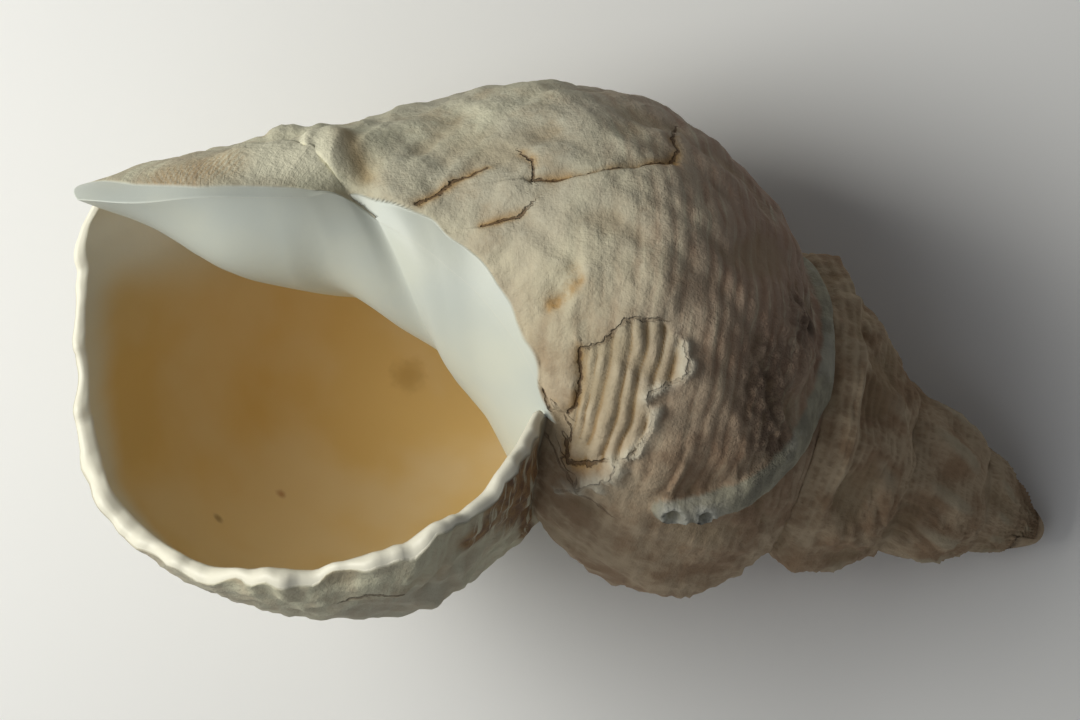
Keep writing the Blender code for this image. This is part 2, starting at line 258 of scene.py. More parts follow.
# Healed breaks and cracks: their (turn, place) knots, width and depth of the groove, and the step
# up in mm on their left-hand side
BREAKS = [
    ([(-0.579, 0.692), (-0.590, 0.682), (-0.600, 0.684), (-0.611, 0.693)], 0.36, 0.26, 0.14),
    ([(-0.611, 0.693), (-0.612, 0.642), (-0.611, 0.587), (-0.602, 0.513), (-0.592, 0.445)],
     0.40, 0.40, -0.22),
    ([(-0.592, 0.445), (-0.575, 0.423), (-0.564, 0.428), (-0.540, 0.400)], 0.34, 0.26, -0.10),
    ([(-0.635, 0.701), (-0.645, 0.727), (-0.657, 0.798)], 0.40, 0.20, 0.14),
    ([(-0.586, 0.756), (-0.595, 0.816), (-0.618, 0.862), (-0.633, 0.900)], 0.40, 0.14, 0.08),
    ([(-0.691, 0.633), (-0.702, 0.650), (-0.712, 0.662), (-0.727, 0.682)], 0.75, 0.55, 0.0),
    ([(-0.700, 0.622), (-0.712, 0.640), (-0.722, 0.664)], 0.55, 0.40, 0.0),
    ([(-0.800, 0.675), (-0.812, 0.650), (-0.810, 0.622), (-0.795, 0.600), (-0.777, 0.602), (-0.751, 0.611)],
     0.36, 0.34, 0.16),
    ([(-0.830, 0.608), (-0.843, 0.582), (-0.837, 0.560), (-0.815, 0.495)], 0.36, 0.34, -0.14),
    ([(-0.805, 0.640), (-0.818, 0.600), (-0.832, 0.600)], 0.34, 0.26, 0.0),
    ([(-0.823, 0.381), (-0.798, 0.373)], 0.35, -0.30, 0.0),
]
# White jagged step on the patch's right-hand side, raised
STEP = [(-0.722, 0.425), (-0.733, 0.413), (-0.744, 0.416), (-0.758, 0.462), (-0.766, 0.473),
        (-0.773, 0.456), (-0.785, 0.450), (-0.802, 0.464), (-0.817, 0.494), (-0.831, 0.495),
        (-0.852, 0.540), (-0.877, 0.586)]
STEP_HALF = 0.55
STEP_HEIGHT = 0.55
STEP_JAGS = 0.35
# Outline of the flaked patch, and how deep it lies
FLAKE = [(-0.751, 0.611), (-0.739, 0.567), (-0.720, 0.531), (-0.712, 0.470), (-0.722, 0.425),
         (-0.744, 0.416), (-0.758, 0.462), (-0.766, 0.473), (-0.773, 0.456), (-0.785, 0.450),
         (-0.802, 0.464), (-0.817, 0.494), (-0.837, 0.560), (-0.820, 0.600), (-0.790, 0.606)]
FLAKE_DEPTH = 0.42
FLAKE_EDGE = 0.32
FLAKE_CORDS = 0.45
# The worm tube: its line over the shoulder, half width, height, and the two holes at its end
TUBE = [(-0.530, 0.010), (-0.56, 0.012), (-0.60, 0.016), (-0.66, 0.026), (-0.70, 0.048), (-0.735, 0.09),
        (-0.765, 0.135), (-0.79, 0.185), (-0.81, 0.245), (-0.828, 0.315), (-0.838, 0.385)]
TUBE_HALF = 2.1
TUBE_HEIGHT = 0.80
TUBE_THIN = 0.42
TUBE_GROOVE = 0.35
HOLES = [(-0.8365, 0.362, 0.62), (-0.829, 0.302, 0.52)]
HOLE_DEPTH = 1.1
HOLE_RIM = 0.50
HOLE_RIM_AT = 1.25
HOLE_RIM_HALF = 0.45
# Rough pitted patch below the tube, a dark pit, and brown stains: (turn, place), half widths in mm
ROUGH = [(-0.722, 0.235, 4.6, 3.4), (-0.660, 0.170, 3.0, 1.8), (-0.770, 0.200, 3.0, 2.0)]
PIT = (-0.652, 0.130, 1.3, 0.7)
PIT_DEPTH = 0.9
STAINS = [(-0.652, 0.120, 1.5, 0.8), (-0.625, 0.095, 0.8, 0.5)]
# Brown stain that has run out of the suture behind the lip: (turn, place), half widths in mm
RUST = [(0.060, 0.020, 11.0, 1.3), (0.130, 0.060, 5.0, 3.0), (0.150, 0.110, 2.2, 3.0),
        (0.122, 0.140, 2.0, 2.4)]
# Pale chalky areas where the cords are nearly worn away
CHALKY = [(-0.60, 0.74, 16.0, 12.0), (-0.48, 0.82, 16.0, 12.0)]
CHALKY_WORN = 0.85

# Dark open cracks, as (turn, place) knots and a strength, and how far from the line they are seen
SMALL_CRACK = [(-0.835, 0.68), (-0.842, 0.62), (-0.86, 0.55), (-0.865, 0.48)]
LIP_CRACK = [(0.082, 0.308), (0.093, 0.282), (0.095, 0.237)]
CRACKS = [(row[0], 1.0) for row in BREAKS[:5] + BREAKS[7:10]]
CRACKS += [(STEP, 0.3), (FLAKE[:4], 0.5), (SMALL_CRACK, 0.5), (LIP_CRACK, 0.7)]
CRACK_REACH = (0.5, 0.9)
# Turns between which the last whorl shows in front, where its breaks and stains are
FRONT_TURNS = (-0.98, -0.40)
# Ridges along the outer lip: mm behind it, half width and height; and the reach of its broad cords
LIP_RIDGES = [(2.4, 0.8, 0.16), (4.9, 0.8, 0.22), (8.4, 0.7, 0.14)]
LIP_CORDS_REACH = 30.0
LIP_CORDS_PLACES = (0.30, 0.28)


def round_scale(turn, place):
    """Millimetres of surface per turn round the axis, near a turn and a place."""
    return 2 * math.pi * GROWTH ** turn * float(whorl(place)[0])


def across_scale(turn):
    """Millimetres of surface per unit of place, near a turn."""
    return SECTION_LENGTH * GROWTH ** turn


def unrolled(turn, place, centre):
    """Surface laid out flat round a centre: millimetres along the spiral and across it."""
    along = (turn - centre[0]) * round_scale(*centre)
    across = (place - centre[1]) * across_scale(centre[0])
    return np.stack([along, across], -1)


def line_field(turn, place, knots):
    """Distance in mm to a bent line, the side a point is on, and the share of the line reached."""
    centre = np.mean(np.array(knots), axis=0)
    point = unrolled(turn, place, centre)
    corner = unrolled(*np.array(knots).T, centre)
    length = np.linalg.norm(np.diff(corner, axis=0), axis=1)
    distance = np.full(turn.shape, np.inf)
    side = np.zeros(turn.shape)
    reached = np.zeros(turn.shape)
    for k, (start, end) in enumerate(zip(corner[:-1], corner[1:])):
        run = end - start
        share = np.clip(((point - start) @ run) / (run @ run), 0.0, 1.0)
        gap = np.linalg.norm(point - start - share[..., None] * run, axis=-1)
        turned = run[0] * (point[..., 1] - start[1]) - run[1] * (point[..., 0] - start[0])
        nearer = gap < distance
        distance = np.where(nearer, gap, distance)
        side = np.where(nearer, np.sign(turned), side)
        reached = np.where(nearer, (length[:k].sum() + share * length[k]) / length.sum(), reached)
    return distance, side, reached


def inside_outline(turn, place, knots):
    """Signed distance in mm to a closed outline: positive inside, by counting crossings."""
    centre = np.mean(np.array(knots), axis=0)
    point = unrolled(turn, place, centre)
    corner = unrolled(*np.array(knots).T, centre)
    crossings = np.zeros(turn.shape, int)
    for start, end in zip(corner, np.roll(corner, -1, axis=0)):
        spans = (start[1] > point[..., 1]) != (end[1] > point[..., 1])
        rise = end[1] - start[1]
        at = start[0] + (point[..., 1] - start[1]) * (end[0] - start[0]) / (rise if rise else TINY)
        crossings += spans & (point[..., 0] < at)
    distance = line_field(turn, place, list(knots) + [knots[0]])[0]
    return np.where(crossings % 2 == 1, distance, -distance)


def waves(points, spacing, seed, count=14):
    """Smooth lumps: a sum of cosines in random directions, about one spacing long, roughly -1 to 1."""
    random = np.random.default_rng(seed)
    direction = random.normal(size=(count, 3))
    direction /= np.linalg.norm(direction, axis=1, keepdims=True)
    length = spacing * random.uniform(0.7, 1.5, count)
    phase = random.uniform(0, 2 * math.pi, count)
    total = np.zeros(points.shape[:-1])
    for way, size, start in zip(direction, length, phase):
        total += np.cos(points @ way * (2 * math.pi / size) + start)
    return total / math.sqrt(count)


def spot(turn, place, centre_turn, centre_place, half_round, half_across):
    """Round bump of height one with its half widths in millimetres."""
    flat = unrolled(turn, place, (centre_turn, centre_place))
    return np.exp(-(flat[..., 0] / half_round) ** 2 - (flat[..., 1] / half_across) ** 2)


def on_body(turn):
    """One on the last whorl, zero on the spire."""
    return smooth_step((turn + 1.02) / 0.2)


def cord_wave(turn, place, points):
    """Broad tops with narrow grooves across the section, uneven in width and wandering a little."""
    wander = CORD_WANDER * waves(points, 9.0, 21) + 0.09 * waves(points, 3.2, 22)
    uneven = sum(size * np.sin(2 * math.pi * count * place + start) for count, size, start in CORD_UNEVEN)
    main = 0.5 + 0.5 * np.cos(2 * math.pi * (CORDS * place + wander + uneven))
    second = 0.5 + 0.5 * np.cos(4 * math.pi * (CORDS * place + wander + uneven))
    near_lip = smooth_step((turn - LIP_CORD_TURNS[0]) / (LIP_CORD_TURNS[1] - LIP_CORD_TURNS[0]))
    fine = main * (2.0 - main) * (1 - 0.6 * near_lip) + second * 0.6 * near_lip
    coarse = 0.5 + 0.5 * np.cos(2 * math.pi * (SPIRE_CORDS * place + wander + uneven))
    body = on_body(turn)
    return body * fine + (1 - body) * coarse


def behind_lip(turn, place):
    """Millimetres from the outer lip back along the spiral."""
    return (lip_turn(place) - turn) * 2 * math.pi * GROWTH ** turn * whorl(place)[..., 0]


def marks(turn, place, points):
    """Masks from 0 to 1 for the flaked patch, tube, rough patch, breaks and lip, and the cord wave."""
    front = (turn > FRONT_TURNS[0]) & (turn < FRONT_TURNS[1])

    def seen(value):
        """The value kept from 0 to 1, and only on the side in front."""
        return np.where(front, np.clip(value, 0, 1), 0.0)

    flake = inside_outline(turn, place, FLAKE)
    tube_gap, _, tube_reached = line_field(turn, place, TUBE)
    half = TUBE_HALF * (1.0 - (1.0 - TUBE_THIN) * tube_reached ** 2)
    rough = sum(spot(turn, place, *patch) for patch in ROUGH)
    stain = sum(spot(turn, place, *patch) for patch in STAINS)
    rust = sum(spot(turn, place, *patch) for patch in RUST) * (turn > -0.2)
    step_gap = line_field(turn, place, STEP)[0] + STEP_JAGS * waves(points, 1.7, 81)
    rings = sum(hole_rim(hole_gap(turn, place, hole)) for hole in HOLES)
    nearest, crack, power = (np.full(turn.shape, value) for value in (9.0, 9.0, 0.0))
    for knots, strength in CRACKS:
        gap, side, _ = line_field(turn, place, knots)
        closer = (gap < nearest) & ((turn < FRONT_TURNS[1]) == (knots[0][0] < FRONT_TURNS[1]))
        closer &= turn > FRONT_TURNS[0]
        crack, power = np.where(closer, gap * side, crack), np.where(closer, strength, power)
        nearest = np.where(closer, gap, nearest)
    near, far = CRACK_REACH
    return {
        "front": front,
        "flake": seen(smooth_step(0.5 + flake / FLAKE_EDGE)),
        "tube": seen(1.0 - (tube_gap / half) ** 4),
        "tube_side": seen(np.exp(-((tube_gap - 1.5 * half) / 0.6) ** 2) * (tube_reached < 0.8)),
        "rough": seen(rough),
        "stain": seen(stain),
        "rust": np.clip(rust, 0, 1),
        "step": seen(np.exp(-(step_gap / STEP_HALF) ** 2)),
        "ring": seen(rings),
        "fold": folds(turn, place) / FOLD_HEIGHT,
        "shoulder": (1.0 - smooth_step((place - 0.26) / 0.38)) * smooth_step((-0.32 - turn) / 0.2),
        "breaks": [line_field(turn, place, row[0]) for row in BREAKS],
        "crack": crack,
        "crack_near": power * (1.0 - smooth_step((nearest - near) / (far - near))),
        "chalky": seen(sum(spot(turn, place, *patch) for patch in CHALKY)),
        "cord": cord_wave(turn, place, points),
    }


def hole_gap(turn, place, hole):
    """Distance from a hole's centre, in half widths of the hole."""
    flat = unrolled(turn, place, hole[:2])
    return np.hypot(flat[..., 0], flat[..., 1] * 0.8) / hole[2]


def hole_rim(gap):
    """Ring round a hole: e to the minus square of the distance from the ring's own line."""
    return np.exp(-((gap - HOLE_RIM_AT) / HOLE_RIM_HALF) ** 2)


def relief(turn, place, points, mark):
    """Height in mm above the smooth whorl: lumps, growth lines, cords, breaks, flaked patch and tube."""
    size = GROWTH ** turn
    height = sum(rise * waves(points, spacing, seed) for spacing, rise, seed in LUMPS)
    knobs = sum(rise * waves(points, spacing, seed) for spacing, rise, seed in SPIRE_LUMPS)
    height = height + knobs * smooth_step((-1.0 - turn) / 0.25) * np.clip(1.6 * size ** 0.5, 0.3, 1.0)
    slanted = turn + GROWTH_SLANT * (place - 0.5) ** 2
    lines = sum(rise * np.sin(2 * math.pi * count * slanted + 2.0 * waves(points, 14.0, 31))
                for count, rise in GROWTH_LINES)
    height = height + lines * np.clip(0.6 + 0.6 * waves(points, 12.0, 35), 0.1, 1.3)
    strength = 0.65 + 0.45 * np.clip(waves(points, 16.0, 41), -1, 1)
    strength = strength * (1.0 - CHALKY_WORN * mark["chalky"])
    strength = strength * (1.0 + 1.2 * smooth_step((-0.79 - turn) / 0.06))
    cord = CORD_HEIGHT * strength * (1 - mark["flake"]) + FLAKE_CORDS * mark["flake"]
    height = height + cord * mark["cord"] * np.clip(size ** 0.5, 0.4, 1.0)
    near = np.exp(-behind_lip(turn, place) / LIP_CORDS_REACH) * on_body(turn)
    near = near * bell(place, *LIP_CORDS_PLACES)
    broad = 0.5 + 0.5 * np.cos(2 * math.pi * (BROAD_CORDS * place + 0.3 * waves(points, 12.0, 45)))
    uneven = np.clip(0.55 + 0.6 * waves(points, 9.0, 46), 0.1, 1.2)
    height = height + BROAD_HEIGHT * near * broad * uneven
    for back, half, rise in LIP_RIDGES:
        shifted = behind_lip(turn, place) - back + 0.5 * waves(points, 7.0, 47)
        height = height + rise * np.exp(-(shifted / half) ** 2) * on_body(turn)
    for (gap, side, _), (_, width, depth, step) in zip(mark["breaks"], BREAKS):
        groove = depth * np.exp(-(gap / width) ** 2)
        ramp = step * np.exp(-gap / 2.5) * side * smooth_step(gap / width)
        height = height - np.where(mark["front"], groove - ramp, 0.0)
    height = height - FLAKE_DEPTH * mark["flake"] + STEP_HEIGHT * mark["step"]
    tube = mark["tube"]
    rough = mark["rough"] * (1.0 - tube)
    height = height - rough * (0.20 + 0.22 * waves(points, 1.5, 51) + 0.12 * waves(points, 0.9, 52))
    height = height * (1.0 - 0.8 * tube) + TUBE_HEIGHT * tube * (1.0 + 0.2 * waves(points, 5.0, 55))
    height = height - TUBE_GROOVE * mark["tube_side"]
    for hole in HOLES:
        gap = hole_gap(turn, place, hole)
        rim = HOLE_RIM * hole_rim(gap)
        height = height + np.where(mark["front"], rim - HOLE_DEPTH * np.exp(-gap ** 4), 0.0)
    height = height - PIT_DEPTH * np.where(mark["front"], spot(turn, place, *PIT), 0.0)
    sunk = DEEPEST + DEEPEST_SOFT * np.tanh((-height - DEEPEST) / DEEPEST_SOFT)
    height = np.where(height < -DEEPEST, -sunk, height)
    return height * smooth_step(place / CORD_ENDS)


def carved(turn, place):
    """Outside points with their relief, and the masks they were made with."""
    smooth = section(turn, place)
    points = grown(turn, smooth)
    mark = marks(turn, place, points)
    height = relief(turn, place, points, mark)
    mark["height"] = height
    mark["dent"] = (1.0 - mark["cord"]) * (1.0 - CHALKY_WORN * mark["chalky"])
    rise = height / GROWTH ** turn
    return grown(turn, smooth + outward(place) * rise[..., None]), mark


# The inner lip runs over the body whorl and then down the twisted pillar to the tip of the canal. A
# smooth white glaze, laid down last, covers the whorl beside it.
LOW_PLACE = 0.985
LOW_RISE = 0.2
INNER_LIP = [(0.0, None), (0.04, 0.70), (0.09, 0.79), (0.15, 0.88), (0.21, 0.95), (0.26, LOW_PLACE)]
PILLAR_EDGE = [(0.32, -4.2, -4.3, 74.0), (0.42, -3.0, -4.7, 77.0), (0.55, -1.6, -4.8, 80.4),
               (0.70, 0.4, -4.3, 85.2), (0.85, 2.8, -2.6, 89.5), (1.0, 4.5, 0.0, 93.2)]
PILLAR = [(0.34, 4.2, 63.0), (0.43, 3.1, 67.9), (0.55, 4.3, 73.1), (0.68, 5.4, 79.1), (0.80, 5.5, 84.3),
          (0.90, 5.2, 89.1), (1.0, 5.7, 93.4)]
PILLAR_JOIN = (0.15, 0.21, 0.26)
CURL_SHARE = 0.1875
CURL_STARTS = (0.2, 0.35)
CURL_SAG = 0.15


def last_turn(share, place):
    """Turn of a row of the last whorl: an even share of the way to the lip at that place."""
    first = LIP_TURN - 1.0
    return first + (lip_turn(place) - first) * share


def body_place(share):
    """Place that the inner lip has reached while it still crosses the body whorl."""
    places = [float(suture_place(LIP_TURN))] + column(INNER_LIP[1:], 1)
    return np.interp(share, column(INNER_LIP, 0), places)


def inner_lip(share):
    """The inner lip in space: on the body whorl, then a cubic through the pillar's points."""
    place = body_place(share)
    on_whorl = grown(last_turn(share, place), section(last_turn(share, place), place))
    join = np.array(PILLAR_JOIN)
    join_place = body_place(join)
    start = grown(last_turn(join, join_place), section(last_turn(join, join_place), join_place))
    rest = np.array([(x, y, -drop) for _, x, y, drop in PILLAR_EDGE])
    shares = np.concatenate([join, column(PILLAR_EDGE, 0)])
    down = curve(shares, np.concatenate([start, rest]), np.clip(share, join[0], 1.0))
    return np.where((share < join[-1])[:, None], on_whorl, down)


def cavity_pillar(share):
    """Inner side of the cavity at a full section: the whorl's skin, then the pillar."""
    join = np.array(PILLAR_JOIN)
    start = whorl(body_place(join)) / GROWTH
    rest = np.array([row[1:] for row in PILLAR])
    shares = np.concatenate([join, column(PILLAR, 0)])
    down = curve(shares, np.concatenate([start, rest]), np.clip(share, join[0], 1.0))
    return np.where((share < join[-1])[:, None], whorl(body_place(share)) / GROWTH, down)


def section_share(share):
    """Part of a row of the last whorl that follows the section; the rest curls under the pillar."""
    return 1.0 - CURL_SHARE * smooth_step((share - CURL_STARTS[0]) / (CURL_STARTS[1] - CURL_STARTS[0]))


# Glaze: its boundary on the whorl as turn and place, and on the curl as a share of it
GLAZE_LINE = [(-0.83, 0.61), (-0.80, 0.68), (-0.755, 0.725), (-0.695, 0.813), (-0.655, 0.885),
              (-0.62, 0.96), (-0.58, 1.02)]
GLAZE_TURN = -0.75
GLAZE_WOBBLE = 0.35
GLAZE_EDGE = 0.55
GLAZE_CURL = [(0.0, -0.1), (0.25, -0.1), (0.33, 0.40), (0.40, 0.70), (0.52, 0.80), (0.70, 0.86),
              (0.85, 0.72), (1.0, 0.45)]
GLAZE_CURL_EDGE = 0.16

# Rows round a turn, columns across each turn, how much closer the rows lie in front, and where the
# back of the shell is, as a share of the turn and a half width
ROUND = 252
ACROSS = (16, 16, 32, 64, 192)
FRONT_ROWS = 2.4
BACK = (0.60, 0.25)


def row_shares():
    """Shares of a turn at its rows, closer together in front than on the back of the shell."""
    fine = np.linspace(0.0, 1.0, SEARCH_STEPS)
    density = 1.0 + (FRONT_ROWS - 1.0) * (1.0 - bell(fine, *BACK))
    reached = np.concatenate([[0.0], np.cumsum((density[1:] + density[:-1]) / 2)])
    return np.interp(np.linspace(0.0, 1.0, ROUND + 1), reached / reached[-1], fine)


SHARES = row_shares()


# Features of the canal's back, as lines in the upright shell: a swelling, a groove beside it that
# parts it from the whorl, and the striped band of old canal edges
SWELLING = [(-3.7, -1.1, -81.8), (-5.2, -0.6, -79.0), (-7.4, -0.8, -76.2)]
SWELLING_HALF = 3.0
SWELLING_RISE = 1.5
GROOVE = [(-9.1, -0.2, -74.6), (-7.6, -2.5, -73.5), (-6.6, -3.4, -72.8)]
GROOVE_HALF = 1.0
GROOVE_DEPTH = 0.6
STRIPED = [(-3.4, -0.9, -84.4), (-0.4, -1.0, -88.0)]
STRIPED_HALF = 2.6
STRIPES = 70.0
STRIPE_HEIGHT = 0.14
TIP_CENTRE = (3.8, 0.9, -93.2)
TIP_REACH = 3.0
TIP_OUT = 0.9
# Where across a row these features fade out towards the inner lip, and over how much of it
FREE_EDGE = (0.82, 0.12)


def space_gap(points, knots):
    """Distance in mm to a bent line in space."""
    knots = np.array(knots)
    distance = np.full(points.shape[:-1], np.inf)
    for start, end in zip(knots[:-1], knots[1:]):
        run = end - start
        share = np.clip(((points - start) @ run) / (run @ run), 0.0, 1.0)
        distance = np.minimum(distance, np.linalg.norm(points - start - share[..., None] * run, axis=-1))
    return distance


def surface_normal(points):
    """Unit normals of a grid of points, out of the shell."""
    normal = np.cross(np.gradient(points, axis=0), np.gradient(points, axis=1))
    return normal / np.maximum(np.linalg.norm(normal, axis=-1, keepdims=True), TINY)


def body_rows(edge):
    """Outside of the last whorl, curled under the pillar to the inner lip, with its masks."""
    share = SHARES[:, None]
    across = (np.arange(ACROSS[-1] + 1) / ACROSS[-1])[None, :]
    low_place = np.clip(LOW_PLACE + LOW_RISE * (share - PILLAR_JOIN[-1]), 0, 1)
    last_place = np.where(share < PILLAR_JOIN[-1], body_place(share), low_place)
    own = section_share(share)
    place = last_place * np.clip(across / own, 0.0, 1.0)
    turn = last_turn(share, place)
    smooth = grown(turn, section(turn, place))
    points, mark = carved(turn, place)
    curl = np.clip((across - own) / np.maximum(1.0 - own, TINY), 0.0, 1.0)

    def curled(from_points):
        reach = edge[:, None, :] - from_points
        sag = CURL_SAG * np.linalg.norm(reach, axis=-1) * np.sin(math.pi * curl)
        bent = from_points + curl[..., None] * reach
        bent[..., 2] -= sag
        return bent

    line = np.interp(turn, column(GLAZE_LINE, 0), column(GLAZE_LINE, 1))
    beyond = (place - line) * across_scale(GLAZE_TURN)
    beyond = beyond + GLAZE_WOBBLE * waves(points, 4.0, 61)
    glaze = smooth_step(0.5 + beyond / (2 * GLAZE_EDGE)) * (curl <= 0) * (turn < GLAZE_LINE[-1][0])
    bound = np.interp(share, column(GLAZE_CURL, 0), column(GLAZE_CURL, 1))
    glaze = np.maximum(glaze, np.where(curl > 0, smooth_step(0.5 + (curl - bound) / GLAZE_CURL_EDGE), 0.0))
    keep = 1.0 - smooth_step(1.6 * glaze)
    fade = keep * (1.0 - 0.6 * smooth_step(curl * 3.0))
    smooth_curled = curled(smooth)
    rough_curled = curled(points)
    points = smooth_curled + (rough_curled - smooth_curled) * fade[..., None]
    swelling = np.exp(-(space_gap(points, SWELLING) / SWELLING_HALF) ** 4)
    groove = np.exp(-(space_gap(points, GROOVE) / GROOVE_HALF) ** 2)
    striped = np.exp(-(space_gap(points, STRIPED) / STRIPED_HALF) ** 4)
    stripes = striped * np.sin(2 * math.pi * STRIPES * (share + 0.1 * curl) + 1.5 * waves(points, 5.0, 91))
    rise = SWELLING_RISE * swelling - GROOVE_DEPTH * groove + STRIPE_HEIGHT * stripes
    free = 1.0 - smooth_step((across - FREE_EDGE[0]) / FREE_EDGE[1])
    points = points + surface_normal(smooth_curled) * (rise * free)[..., None]
    points[:, -1, :] = edge
    mark["striped"] = striped * (0.5 + 0.5 * stripes)
    mark["groove"] = groove * (1.0 - glaze)
    mark["swelling"] = swelling
    mark["glaze"] = glaze
    mark["turn"] = turn
    mark["place"] = place
    return points, mark


def spire_rows(block):
    """Outside of one turn of the spire, down to where the next turn covers it."""
    turn = LIP_TURN - WHORLS + block + SHARES
    end = suture_place(turn + 1.0)
    across = np.arange(ACROSS[block] + 1) / ACROSS[block]
    turn = np.repeat(turn[:, None], len(across), 1)
    place = end[:, None] * across[None, :]
    points, mark = carved(turn, place)
    mark.update({name: np.zeros(place.shape) for name in ("glaze", "striped", "groove", "swelling")})
    mark.update({"turn": turn, "place": place})
    return points, mark


# Inside, the shell is a smooth coiled tube with a thin wall: white at the lips, tan further in.
WALL = 1.1
WALL_LIP = 0.34
WALL_LIP_REACH = 5.0
WALL_LIP_PLACES = (0.45, 0.3)
CORNER = 0.08
CORNER_INWARD = (0.3, 0.95)
MOUTH_TURN = -0.30
MOUTH_BLEND = 0.55
MOUTH_STEPS = np.concatenate([[0.01, 0.025, 0.05, 0.08], np.linspace(0.12, 1.0, 16)])
INNER_START = 0.02
DEEP_STEPS = 9
DEEP_TURNS = 1.05
RIM_STEPS = (0.12, 0.3, 0.5, 0.7, 0.88)
RIM_BULGE = 0.38
PILLAR_ROUND = 24.0


def inner_wall(turn, place):
    """The outside moved in by the wall's thickness, which grows a little at the middle of the lip."""
    points = section(turn, place)
    before = section(turn, np.clip(place - TANGENT_STEP, 0, 1))
    after = section(turn, np.clip(place + TANGENT_STEP, 0, 1))
    tangent = after - before
    tangent /= np.linalg.norm(tangent, axis=-1, keepdims=True)
    inward = np.stack([-tangent[..., 1], tangent[..., 0]], -1)
    corner = np.clip(1.0 - place / CORNER, 0.0, 1.0)[..., None]
    inward = inward * (1.0 - corner) + np.array(CORNER_INWARD) * corner
    inward /= np.linalg.norm(inward, axis=-1, keepdims=True)
    near = np.exp(-np.clip(behind_lip(turn, place), 0, None) / WALL_LIP_REACH)
    wall = WALL + WALL_LIP * near * bell(place, *WALL_LIP_PLACES)
    return points + inward * wall[..., None]


def cavity(edge):
    """Rings from the lip into the shell: the outer wall, the canal's floor, then back along the pillar.

    Each ring also has two masks: how deep it lies from the lip, and how much of it is pillar."""
    curl_columns = round(CURL_SHARE * ACROSS[-1])
    own = ACROSS[-1] - curl_columns
    place = np.arange(own + 1) / own
    share = SHARES[1:]
    edge = edge[1:]
    edge_turn = np.unwrap(np.arctan2(-edge[:, 1], edge[:, 0])) / (2 * math.pi)
    edge_turn += round(LIP_TURN - edge_turn[0])
    size = GROWTH ** edge_turn
    edge_unit = np.stack([np.hypot(edge[:, 0], edge[:, 1]), -edge[:, 2]], -1) / size[:, None]
    pillar = cavity_pillar(share)
    steps = [(step, step + INNER_START * (1.0 - step), MOUTH_TURN) for step in (0.0, *MOUTH_STEPS)]
    steps += [(1.0, 1.0, MOUTH_TURN - DEEP_TURNS * deep / DEEP_STEPS) for deep in range(1, DEEP_STEPS + 1)]
    rings = []
    depths = []
    pillars = []
    for outer_step, inner_step, turn in steps:
        outer_turn = lip_turn(place) + (turn - lip_turn(place)) * outer_step
        inner_turn = edge_turn + (turn - edge_turn) * inner_step
        inner = edge_unit + (pillar - edge_unit) * smooth_step(inner_step / MOUTH_BLEND)
        outer = grown(outer_turn, inner_wall(outer_turn, place))
        inner = grown(inner_turn, inner)[::-1]
        floor = np.linspace(outer[-1], inner[0], curl_columns + 1)[1:-1]
        rings.append(np.concatenate([outer, floor, inner]))
        back = np.clip(lip_turn(place) - outer_turn, 0, None) * 2 * math.pi * whorl(place)[:, 0]
        inner_back = np.clip(edge_turn - inner_turn, 0, None)[::-1] * 2 * math.pi * PILLAR_ROUND
        depths.append(np.concatenate([back, np.linspace(back[-1], inner_back[0], len(floor)), inner_back]))
        is_floor = np.linspace(0, 1, len(floor))
        pillars.append(np.concatenate([np.zeros(len(outer)), is_floor, np.ones(len(inner))]))
    return rings, np.array(depths), np.array(pillars)


def rim_rings(outer, inner, back, flat):
    """Rounded edge of the lip: points between the two skins, pushed forward by a half sine, except
    where the skin runs on flat into the mouth."""
    forward = outer - back
    length = np.linalg.norm(forward, axis=-1, keepdims=True)
    forward = forward / np.maximum(length, TINY)
    gap = np.linalg.norm(inner - outer, axis=-1, keepdims=True)
    rings = []
    for step in RIM_STEPS:
        bulge = RIM_BULGE * (1.0 - flat[:, None]) * gap * math.sin(math.pi * step)
        rings.append(outer + (inner - outer) * step + forward * bulge)
    return rings


# The whole skin is one closed mesh: every turn is stitched to the one before it along the suture, the
# finer rows of a later turn meet the coarser ones before them, and the lip is stitched to the cavity.
APEX_STEPS = (0.15, 0.3, 0.45, 0.6, 0.75, 0.88)
SCAR_HALF = 0.45
MARKS = ("dent", "crack", "crack_near", "fold", "shoulder", "height", "flake", "step", "tube", "ring",
         "rough", "stain", "rust", "striped", "groove", "swelling", "glaze")
INNER_MARKS = ("scar", "inner", "depth", "pillar")


def number_rows():
    """Vertex numbers of every turn's rows; a turn shares its first column and its last row."""
    numbers = []
    count = 0
    fresh = []
    for block, across in enumerate(ACROSS):
        rows = ROUND + 1 if block == len(ACROSS) - 1 else ROUND
        first = 0 if block == 0 else 1
        grid = np.full((ROUND + 1, across + 1), -1)
        own = np.arange(rows * (across + 1 - first)).reshape(rows, -1) + count
        grid[:rows, first:] = own
        count += own.size
        fresh.append((rows, first))
        numbers.append(grid)
    for block in range(1, len(ACROSS)):
        numbers[block][:ROUND, 0] = numbers[block - 1][:ROUND, -1]
    for block in range(len(ACROSS) - 1):
        step = ACROSS[block + 1] // ACROSS[block]
        numbers[block][ROUND] = numbers[block + 1][0, ::step]
    numbers[-1][ROUND, 0] = numbers[-1][0, -1]
    return numbers, fresh, count


def stitched(last, rings, end, count, points, faces):
    """Rings joined each to the one before it, then closed by a fan round an end point."""
    for ring in rings:
        numbers = np.arange(len(ring)) + count
        count += len(ring)
        points.append(ring)
        faces += np.stack([last, numbers, np.roll(numbers, -1), np.roll(last, -1)], -1).tolist()
        last = numbers
    points.append(end[None, :])
    faces += np.stack([last, np.full(len(last), count), np.roll(last, -1)], -1).tolist()
    return count + 1


